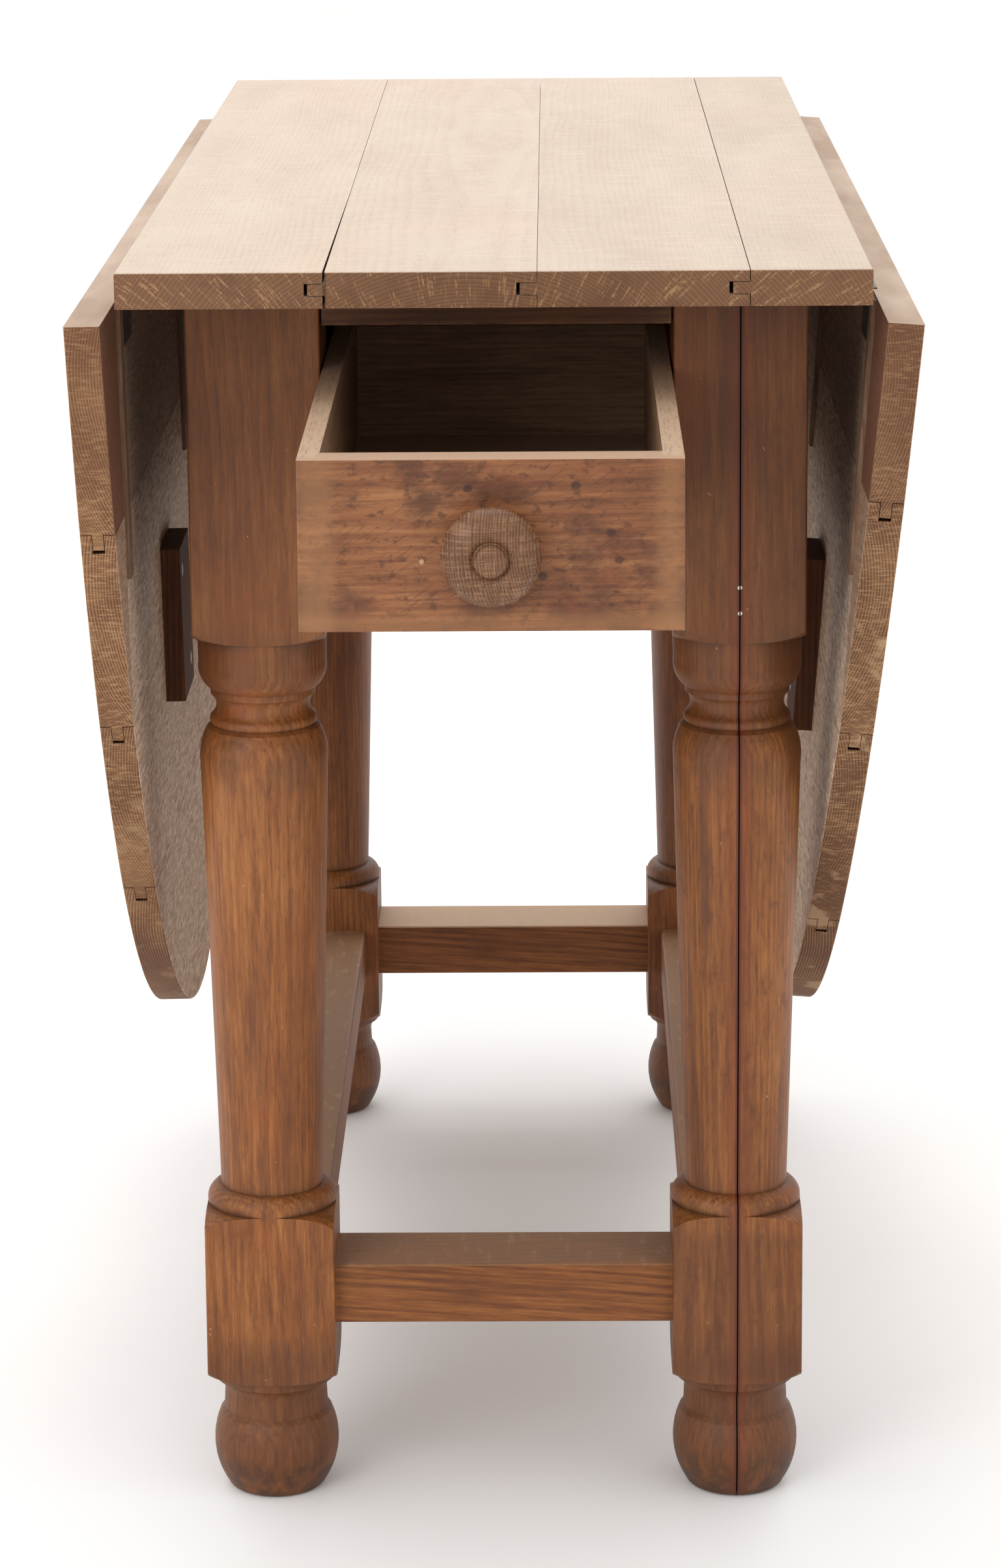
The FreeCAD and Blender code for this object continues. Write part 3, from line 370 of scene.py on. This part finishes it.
def leaf_board(name, side):
    """A leaf's board: sanded outside, grey and rough-sawn inside, brown on its curved rim."""
    number = int(name[-1])
    pith = centre(name) + Vector((-0.16 * side, 2.3 * number, 0.03))
    wood = Wood(f"wood_{name}", "y", pith, ring=0.0016, wave=0.01)
    t = wood.tools
    right = side > 0
    shade = (1.0, 1.0, 0.96, 1.02)[number - 1] * (0.84 if right else 0.94)
    tones = [scaled(c, shade) for c in (srgb(98, 62, 38), srgb(130, 90, 58), srgb(156, 116, 80))]
    wood.body(*tones, ring=0.35, fibre=0.4, cloud=0.9)
    wood.pores(srgb(80, 50, 32), 0.45)
    lines = t.noise(t.stretched(wood.place, (140, 140, 900)), 2.0)
    wood.tint(srgb(176, 138, 98), 0.45, t.math("MULTIPLY", wood.end, t.spread(lines, 0.54, 0.64)))
    wood.rays(srgb(178, 140, 100), 0.25, wood.end)
    top_band = wood.within(2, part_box("leaf_left_board_1")[1].z - 0.1, cad_high.z, 0.08)
    wood.tint(srgb(104, 66, 42), 0.4, t.math("MULTIPLY", wood.end, top_band))
    stained = t.math("MULTIPLY", wood.patches((30, 30, 30), 0.54, 0.62), wood.within(2, 0.2, 0.56, 0.06))
    wood.tint(srgb(190, 158, 122), 0.55 if right else 0.2, stained)
    outside = wood.facing((side, 0, 0))
    figure = t.ramp(wood.cut["Fibre"], [(0.3, srgb(198, 170, 144)), (0.7, srgb(222, 201, 178))])
    wood.tint(figure, 0.92, outside)
    wood.tint(srgb(198, 162, 134), 0.2, t.math("MULTIPLY", outside, wood.patches((5, 3, 8), 0.5, 0.7)))
    if number == 1:
        clouds = t.ramp(wood.cut["Cloud"], [(0.35, srgb(176, 148, 124)), (0.65, srgb(206, 184, 162))])
        wood.tint(clouds, 0.9, wood.facing((0, 0, 1)))
    inside = wood.facing((-side, 0, 0))
    streaks = t.noise(t.stretched(wood.along, (60, 420, 420)), 4.0, 0.72, 0.6)
    greys = [(0.3, srgb(132, 102, 78)), (0.5, srgb(204, 174, 146)), (0.7, srgb(246, 228, 206))]
    wood.tint(t.ramp(streaks, greys), 0.92, inside)
    batten_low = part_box(f"leaf_{'right' if right else 'left'}_batten_front")[0].y
    strip = t.math("MULTIPLY", inside, wood.within(1, cad_low.y, batten_low, 0.004))
    if number == 1:
        # Painted shade: board 1's inside face is painted darker for the shade in the upper part of the leaf.
        wood.tint(srgb(150, 120, 94), 0.5, inside)
        wood.tint(srgb(112, 66, 44), 0.85, strip)
    if number == 2:
        wood.tint(srgb(138, 100, 76), 0.5, strip)
    saw = t.noise(t.stretched(wood.place, (0, 320, 180)), 2.0)
    wood.heights.append((t.math("MULTIPLY", saw, inside), 1.2))
    return wood.finish(0.7)


def batten(name, side):
    """A thin strip of grey-brown oak."""
    wood = Wood(f"wood_{name}", "z", centre(name) + Vector((0.1 * side, 0.06, 0.7)), ring=0.003)
    wood.body(srgb(94, 68, 50), srgb(124, 94, 72), srgb(156, 126, 102), cloud=0.7)
    wood.pores(srgb(70, 48, 34), 0.5)
    return wood.finish(0.7)


def dark_block(name):
    """A pad of dark red-brown hardwood."""
    wood = Wood(f"wood_{name}", "z", centre(name) + Vector((0.08, 0.05, 0.9)), ring=0.003)
    wood.body(srgb(64, 36, 20), srgb(90, 51, 28), srgb(114, 70, 42))
    wood.pores(srgb(44, 24, 14), 0.5)
    return wood.finish(0.85)


def turned(name, beside, shade=1.0, streaks=0.15):
    """Warm brown oak, its grain upright, with painted shade in the coves and on the square posts, and scuffs
    at the foot.
    """
    right = "right_" in name
    wood = Wood(f"wood_{name}", "z", centre(name) + Vector(beside), slope=(0, 0.6, 0.8), ring=0.0035)
    t = wood.tools
    tones = [scaled(c, shade) for c in (srgb(102, 57, 26), srgb(134, 79, 36), srgb(160, 103, 54))]
    wood.body(*tones, ring=0.07, fibre=0.7, cloud=0.6)
    wood.pores(srgb(82, 44, 20), 0.55)
    mottle = t.noise(t.stretched(wood.place, (110, 110, 60)), 4.0, 0.7)
    wood.tint(srgb(88, 48, 24), 0.6 if right else 0.35, t.spread(mottle, 0.5, 0.72, smooth=True))
    bulb = wood.within(2, 0.49, POST_LOW - 0.004, 0.01)
    wood.tint(srgb(78, 44, 26), 0.32, bulb)
    dark = t.noise(t.stretched(wood.along, (5, 70, 70)), 3.0, 0.6)
    wood.tint(srgb(84, 50, 30), streaks * 2, t.spread(dark, 0.52, 0.7, smooth=True))
    wood.tint(srgb(146, 74, 30), 0.4, wood.patches((16, 16, 8), 0.52, 0.75))
    # Painted shade: the square posts are darkened for the shade under the top's overhang.
    post = wood.within(2, POST_LOW - 0.01, cad_high.z, 0.02)
    wood.tint(srgb(92, 54, 28), 0.42, post)
    vase = wood.within(2, 0.44, POST_LOW - 0.004, 0.03)
    wood.tint(srgb(84, 52, 30), 0.45, t.math("MULTIPLY", vase, wood.patches((30, 30, 18), 0.38, 0.6)))
    wood.tint(srgb(80, 46, 26), 0.5, wood.within(2, -0.01, FOOT_HIGH, 0.03))
    # Painted shade in the coves of the turnings.
    wood.painted_cove_shade(srgb(62, 40, 26), 0.85, 0.016)
    low = t.math("MULTIPLY", wood.within(2, -0.01, 0.026, 0.02), wood.patches((45, 45, 45), 0.4, 0.6))
    wood.tint(srgb(58, 40, 28), 0.7, low)
    flecks = t.spread(t.noise(t.stretched(wood.place, (260, 260, 200)), 2.0), 0.76, 0.8)
    wood.tint(srgb(196, 164, 124), 0.5, flecks)
    block = wood.within(2, BLOCK_LOW, BLOCK_HIGH, 0.01)
    torn = t.noise(t.stretched(wood.place, (90, 90, 60)), 3.0, 0.5, 1.0)
    wood.heights.append((t.math("MULTIPLY", block, torn), 9.0 if "outer" in name else 0.3))
    if right:
        seam = (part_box("leg_front_right_inner")[1].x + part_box("leg_front_right_outer")[0].x) / 2
        wood.tint(srgb(44, 24, 14), 0.85, wood.within(0, seam - 0.0016, seam + 0.0016, 0.0014))
        wood.tint(srgb(120, 52, 24), 0.35, wood.within(0, seam - 0.006, seam + 0.006, 0.008))
        # The right leg's block is darker, partly its own wood and partly painted shade for light falling from
        # the left.
        wood.tint(srgb(84, 46, 24), 0.34, block)
        for height in SEAM_MARKS:
            spot = Vector((seam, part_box(name)[0].y, height))
            wood.paint(srgb(226, 216, 200), wood.near(spot, (0.0016, 0.006, 0.0014)))
    return wood.finish(0.5)


def carcase(name, grain, shade=1.0, slope=(0, 0, 0), top_light_and_curls=0.0):
    """Plain brown oak; top_light_and_curls is how far its upper face is painted paler and greyer for the
    light from above and behind, with pale curls over it, and past 0.8 it is painted paler still.
    """
    wood = Wood(f"wood_{name}", grain, centre(name) + Vector((0.06, 0.08, -0.11)), slope=slope, ring=0.004)
    tones = [scaled(c, shade) for c in (srgb(96, 52, 22), srgb(128, 75, 34), srgb(154, 98, 50))]
    wood.body(*tones, ring=0.1, fibre=0.75, cloud=0.6)
    wood.pores(srgb(80, 46, 26), 0.5)
    # Painted light: the upper face is painted paler for the light falling on it from above and behind; the
    # curls are a pale pattern laid over it.
    if top_light_and_curls:
        upper = wood.facing((0, 0, 1))
        wood.tint(srgb(166, 128, 94), top_light_and_curls, upper)
        wood.tint(srgb(222, 186, 150), max(0, top_light_and_curls - 0.8) * 3, upper)
        curls = wood.patches((150, 40, 40), 0.55, 0.7)
        pale = wood.tools.math("MULTIPLY", upper, curls)
        wood.tint(srgb(214, 184, 150), 0.3 * top_light_and_curls, pale)
    wood.edges(srgb(170, 126, 84), 0.4, 0.003)
    return wood.finish(0.6)


# Knots on the drawer front, as shares of its width and height
KNOTS = ((0.44, 0.83), (0.72, 0.84), (0.81, 0.57), (0.83, 0.41), (0.63, 0.32))


def drawer_front(name):
    """Mottled red-brown oak with small knots, paler bands at its ends and foot, and a top edge that is worn
    and painted pale for the light from above.
    """
    wood = Wood(f"wood_{name}", "x", centre(name) + Vector((0.4, -0.12, 0.06)), slope=(0, 0.8, 0), ring=0.003)
    t = wood.tools
    low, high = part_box(name)
    size = high - low
    wood.body(srgb(94, 54, 30), srgb(130, 80, 47), srgb(158, 106, 66), ring=0.08, fibre=0.5, cloud=0.8)
    wood.pores(srgb(78, 44, 26), 0.45)
    wood.tint(srgb(72, 40, 26), 0.75, wood.patches((22, 22, 34), 0.47, 0.64, 6.0))
    wood.tint(srgb(70, 40, 24), 0.6, wood.patches((150, 150, 210), 0.53, 0.66, 3.0))
    slant = t.add("ShaderNodeMapping", {0: wood.place, 2: Euler((0, math.radians(35), 0))}).outputs[0]
    scratch = t.spread(t.noise(t.stretched(slant, (60, 60, 900)), 2.0), 0.6, 0.7)
    wood.tint(srgb(78, 46, 28), 0.5, scratch)
    wood.tint(srgb(112, 56, 32), 0.35, wood.patches((40, 40, 70), 0.5, 0.68, 5.0))
    for band in ((0.0, 0.09), (0.93, 1.0)):
        mask = wood.within(0, low.x + band[0] * size.x, low.x + band[1] * size.x, 0.012)
        wood.tint(srgb(156, 110, 72), 0.45, mask)
    wood.tint(srgb(162, 114, 74), 0.45, wood.within(2, low.z, low.z + 0.1 * size.z, 0.012))
    for across, up in KNOTS:
        spot = Vector((low.x + across * size.x, low.y, low.z + up * size.z))
        wood.paint(srgb(58, 34, 24), t.math("MULTIPLY", wood.near(spot, (0.003, 0.01, 0.0025)), 0.75))
    nick = Vector((low.x + 0.32 * size.x, low.y, low.z + 0.41 * size.z))
    wood.paint(srgb(178, 142, 106), wood.near(nick, (0.0014, 0.01, 0.0018)))
    # Painted light: the upward face is painted pale for the light from above.
    wood.tint(srgb(182, 146, 116), 0.85, wood.facing((0, 0, 1)))
    wood.edges(srgb(190, 148, 106), 0.5, 0.002)
    return wood.finish(0.46)


def knob(name):
    """A turned knob cut across the grain, so its face shows rings one way and rays the other."""
    wood = Wood(f"wood_{name}", "y", centre(name) + Vector((0.09, 0.3, 0.01)), ring=0.0016, wave=0.003)
    t = wood.tools
    wood.body(srgb(80, 50, 30), srgb(102, 66, 41), srgb(126, 87, 58), ring=0.3, fibre=0.35, cloud=0.3)
    wood.rays(srgb(140, 104, 74), 0.4)
    # Painted shade in the knob's dish and round its boss.
    wood.painted_cove_shade(srgb(84, 54, 34), 0.1, 0.01)
    weave = t.math("MULTIPLY", t.noise(t.stretched(wood.place, (30, 30, 700)), 1.0),
                   t.noise(t.stretched(wood.place, (700, 30, 30)), 1.0))
    wood.tint(srgb(170, 130, 96), 0.3, t.spread(weave, 0.24, 0.38, smooth=True))
    return wood.finish(0.44)


def drawer_box(name, grain):
    """Dry, unfinished oak, its top edges painted pale and grey for the light that falls on them from above.
    """
    wood = Wood(f"wood_{name}", grain, centre(name) + Vector((0.07, 0.09, -0.1)), ring=0.0028)
    wood.body(srgb(101, 75, 53), srgb(134, 103, 76), srgb(159, 127, 98), ring=0.05)
    # Painted light: the upward faces are painted pale for the light from above.
    wood.tint(srgb(190, 160, 132), 0.85, wood.facing((0, 0, 1)))
    wood.pores(srgb(84, 62, 44), 0.45)
    return wood.finish(0.7)


def iron(name, pale, dark, rust):
    """Old metal, cloudy from pale to dark and spotted with rust."""
    material = bpy.data.materials.new(name)
    material.use_nodes = True
    t = Tools(material.node_tree)
    shader = material.node_tree.nodes["Principled BSDF"]
    place = t.add("ShaderNodeTexCoord").outputs["Object"]
    cloud = t.noise(t.stretched(place, (90, 90, 90)), 5.0, 0.6)
    colour = t.ramp(cloud, [(0.3, dark), (0.6, pale)])
    spots = t.spread(t.noise(t.stretched(place, (260, 260, 260)), 4.0, 0.65), 0.5, 0.66)
    t.plug(shader.inputs["Base Color"], t.mix(t.math("MULTIPLY", spots, 0.6), colour, rust))
    t.plug(shader.inputs["Roughness"], t.spread(cloud, 0.3, 0.7, 0.38, 0.62))
    shader.inputs["Metallic"].default_value = 0.85
    bump = t.add("ShaderNodeBump", {"Strength": 0.3, "Distance": 0.0004, "Height": cloud})
    t.plug(shader.inputs["Normal"], bump.outputs[0])
    return material


def dress_everything():
    """Gives each CAD node its look."""
    for number in range(4):
        name = f"top_board_{number + 1}"
        dress(name, top_board(name, number))
    for word, side in SIDES.items():
        for number in range(1, 5):
            name = f"leaf_{word}_board_{number}"
            dress(name, leaf_board(name, side))
        for place in ("front", "middle", "rear"):
            name = f"leaf_{word}_batten_{place}"
            dress(name, batten(name, side))
        dress(f"leaf_{word}_pad", dark_block(f"leaf_{word}_pad"))
        dress(f"apron_{word}", carcase(f"apron_{word}", "y"))
        dress(f"fly_rail_{word}", carcase(f"fly_rail_{word}", "y"))
        dress(f"fly_arm_{word}", carcase(f"fly_arm_{word}", "y"))
        dress(f"drawer_runner_{word}", carcase(f"drawer_runner_{word}", "y", 0.8))
        dress(f"drawer_kicker_{word}", carcase(f"drawer_kicker_{word}", "y", 0.8))
        dress(f"drawer_side_{word}", drawer_box(f"drawer_side_{word}", "y"))
        # The side stretchers' upper faces are painted paler for the light from above and behind.
        dress(f"stretcher_{word}", carcase(f"stretcher_{word}", "y", top_light_and_curls=0.8))
    # The front and rear stretchers' upper faces are painted paler for the light from above and behind, the
    # rear one most.
    for name, top_light_and_curls in (("stretcher_front", 0.5), ("stretcher_rear", 1.0)):
        dress(name, carcase(name, "x", slope=(0, -4, 0), top_light_and_curls=top_light_and_curls))
    dress("apron_rear", carcase("apron_rear", "x"))
    dress("drawer_top_rail", carcase("drawer_top_rail", "x", 0.45))
    dress("drawer_bearer_rail", carcase("drawer_bearer_rail", "x", 0.8))
    dress("glue_blocks", carcase("glue_blocks", "z"))
    dress("drawer_front", drawer_front("drawer_front"))
    dress("drawer_back", drawer_box("drawer_back", "x"))
    dress("drawer_floor", drawer_box("drawer_floor", "x"))
    dress("drawer_knob", knob("drawer_knob"))
    dress("leg_front_left", turned("leg_front_left", (0.05, 0.09, 0)))
    # The right leg's halves take lower shares, partly for their own darker wood and partly as painted shade
    # for light falling from the left.
    dress("leg_front_right_inner", turned("leg_front_right_inner", (-0.06, 0.08, 2), 0.85, 0.35))
    dress("leg_front_right_outer", turned("leg_front_right_outer", (0.07, 0.09, 4), 0.92, 0.2))
    dress("leg_rear_left", turned("leg_rear_left", (0.05, -0.09, 6)))
    dress("leg_rear_right", turned("leg_rear_right", (-0.05, -0.09, 8)))
    plates = iron("hinge_iron", srgb(92, 84, 76), srgb(52, 46, 42), srgb(96, 56, 34))
    screws = iron("fixing_steel", srgb(140, 134, 126), srgb(88, 82, 76), srgb(104, 70, 46))
    for name in nodes:
        if "hinge" in name and "screws" not in name:
            dress(name, plates)
        elif "screws" in name or "nails" in name or "pins" in name:
            dress(name, screws)


# ---------------------------------------------------------------------------------------------
# Studio
# ---------------------------------------------------------------------------------------------

# The camera stands in front of the drawer, in metres; the lens is in millimetres on a 36 mm wide sensor
EYE = Vector((0.0325, -2.8846, 1.1194))
EYE_PITCH = math.radians(-12.15)
EYE_YAW = math.radians(0.69)
EYE_ROLL = math.radians(-0.45)
LENS = 106.16
LENS_SHIFT = -0.126


def camera():
    data = bpy.data.cameras.new("camera")
    data.sensor_width = 36
    data.lens = LENS
    data.shift_y = LENS_SHIFT
    data.clip_end = 200
    eye = bpy.data.objects.new("camera", data)
    bpy.context.scene.collection.objects.link(eye)
    turn = Matrix.Rotation(EYE_YAW, 4, "Z") @ Matrix.Rotation(math.pi / 2 + EYE_PITCH, 4, "X")
    eye.matrix_world = Matrix.Translation(EYE) @ turn @ Matrix.Rotation(EYE_ROLL, 4, "Z")
    bpy.context.scene.camera = eye


def floor():
    """A wide pale floor just under the feet."""
    mesh = bpy.data.meshes.new("floor")
    reach = 40
    corners = [(-reach, -reach, 0), (reach, -reach, 0), (reach, reach, 0), (-reach, reach, 0)]
    mesh.from_pydata(corners, [], [(0, 1, 2, 3)])
    plane = bpy.data.objects.new("floor", mesh)
    bpy.context.scene.collection.objects.link(plane)
    plane.location.z = -0.0004
    material = bpy.data.materials.new("floor_paint")
    material.use_nodes = True
    t = Tools(material.node_tree)
    shader = material.node_tree.nodes["Principled BSDF"]
    place = t.add("ShaderNodeTexCoord").outputs["Object"]
    shade = t.noise(t.stretched(place, (3, 3, 3)), 3.0)
    paint = t.ramp(shade, [(0.3, srgb(250, 249, 248)), (0.7, srgb(254, 253, 252))])
    t.plug(shader.inputs["Base Color"], paint)
    shader.inputs["Roughness"].default_value = 0.9
    mesh.materials.append(material)


def softbox(name, place, aim, size, power):
    """A white area light at a place, turned towards its aim."""
    data = bpy.data.lights.new(name, "AREA")
    data.shape = "RECTANGLE"
    data.size, data.size_y = size
    data.energy = power
    lamp = bpy.data.objects.new(name, data)
    bpy.context.scene.collection.objects.link(lamp)
    lamp.location = place
    lamp.rotation_euler = (Vector(aim) - Vector(place)).to_track_quat("-Z", "Y").to_euler()


def studio():
    """An even white surround and three soft lights."""
    world = bpy.data.worlds.new("studio")
    world.use_nodes = True
    world.node_tree.nodes["Background"].inputs["Color"].default_value = (1, 1, 1, 1)
    world.node_tree.nodes["Background"].inputs["Strength"].default_value = 1.05
    bpy.context.scene.world = world
    bpy.context.scene.view_settings.view_transform = "Standard"
    middle = (0, 0, 0.5)
    softbox("light_back", (0.0, 3.4, 2.6), middle, (4.0, 2.0), 40)
    softbox("light_above", (-0.3, 0.2, 3.2), middle, (2.4, 2.4), 14)
    softbox("light_front", (-1.8, -2.8, 1.6), middle, (1.6, 1.6), 26)


dress_everything()
camera()
floor()
studio()
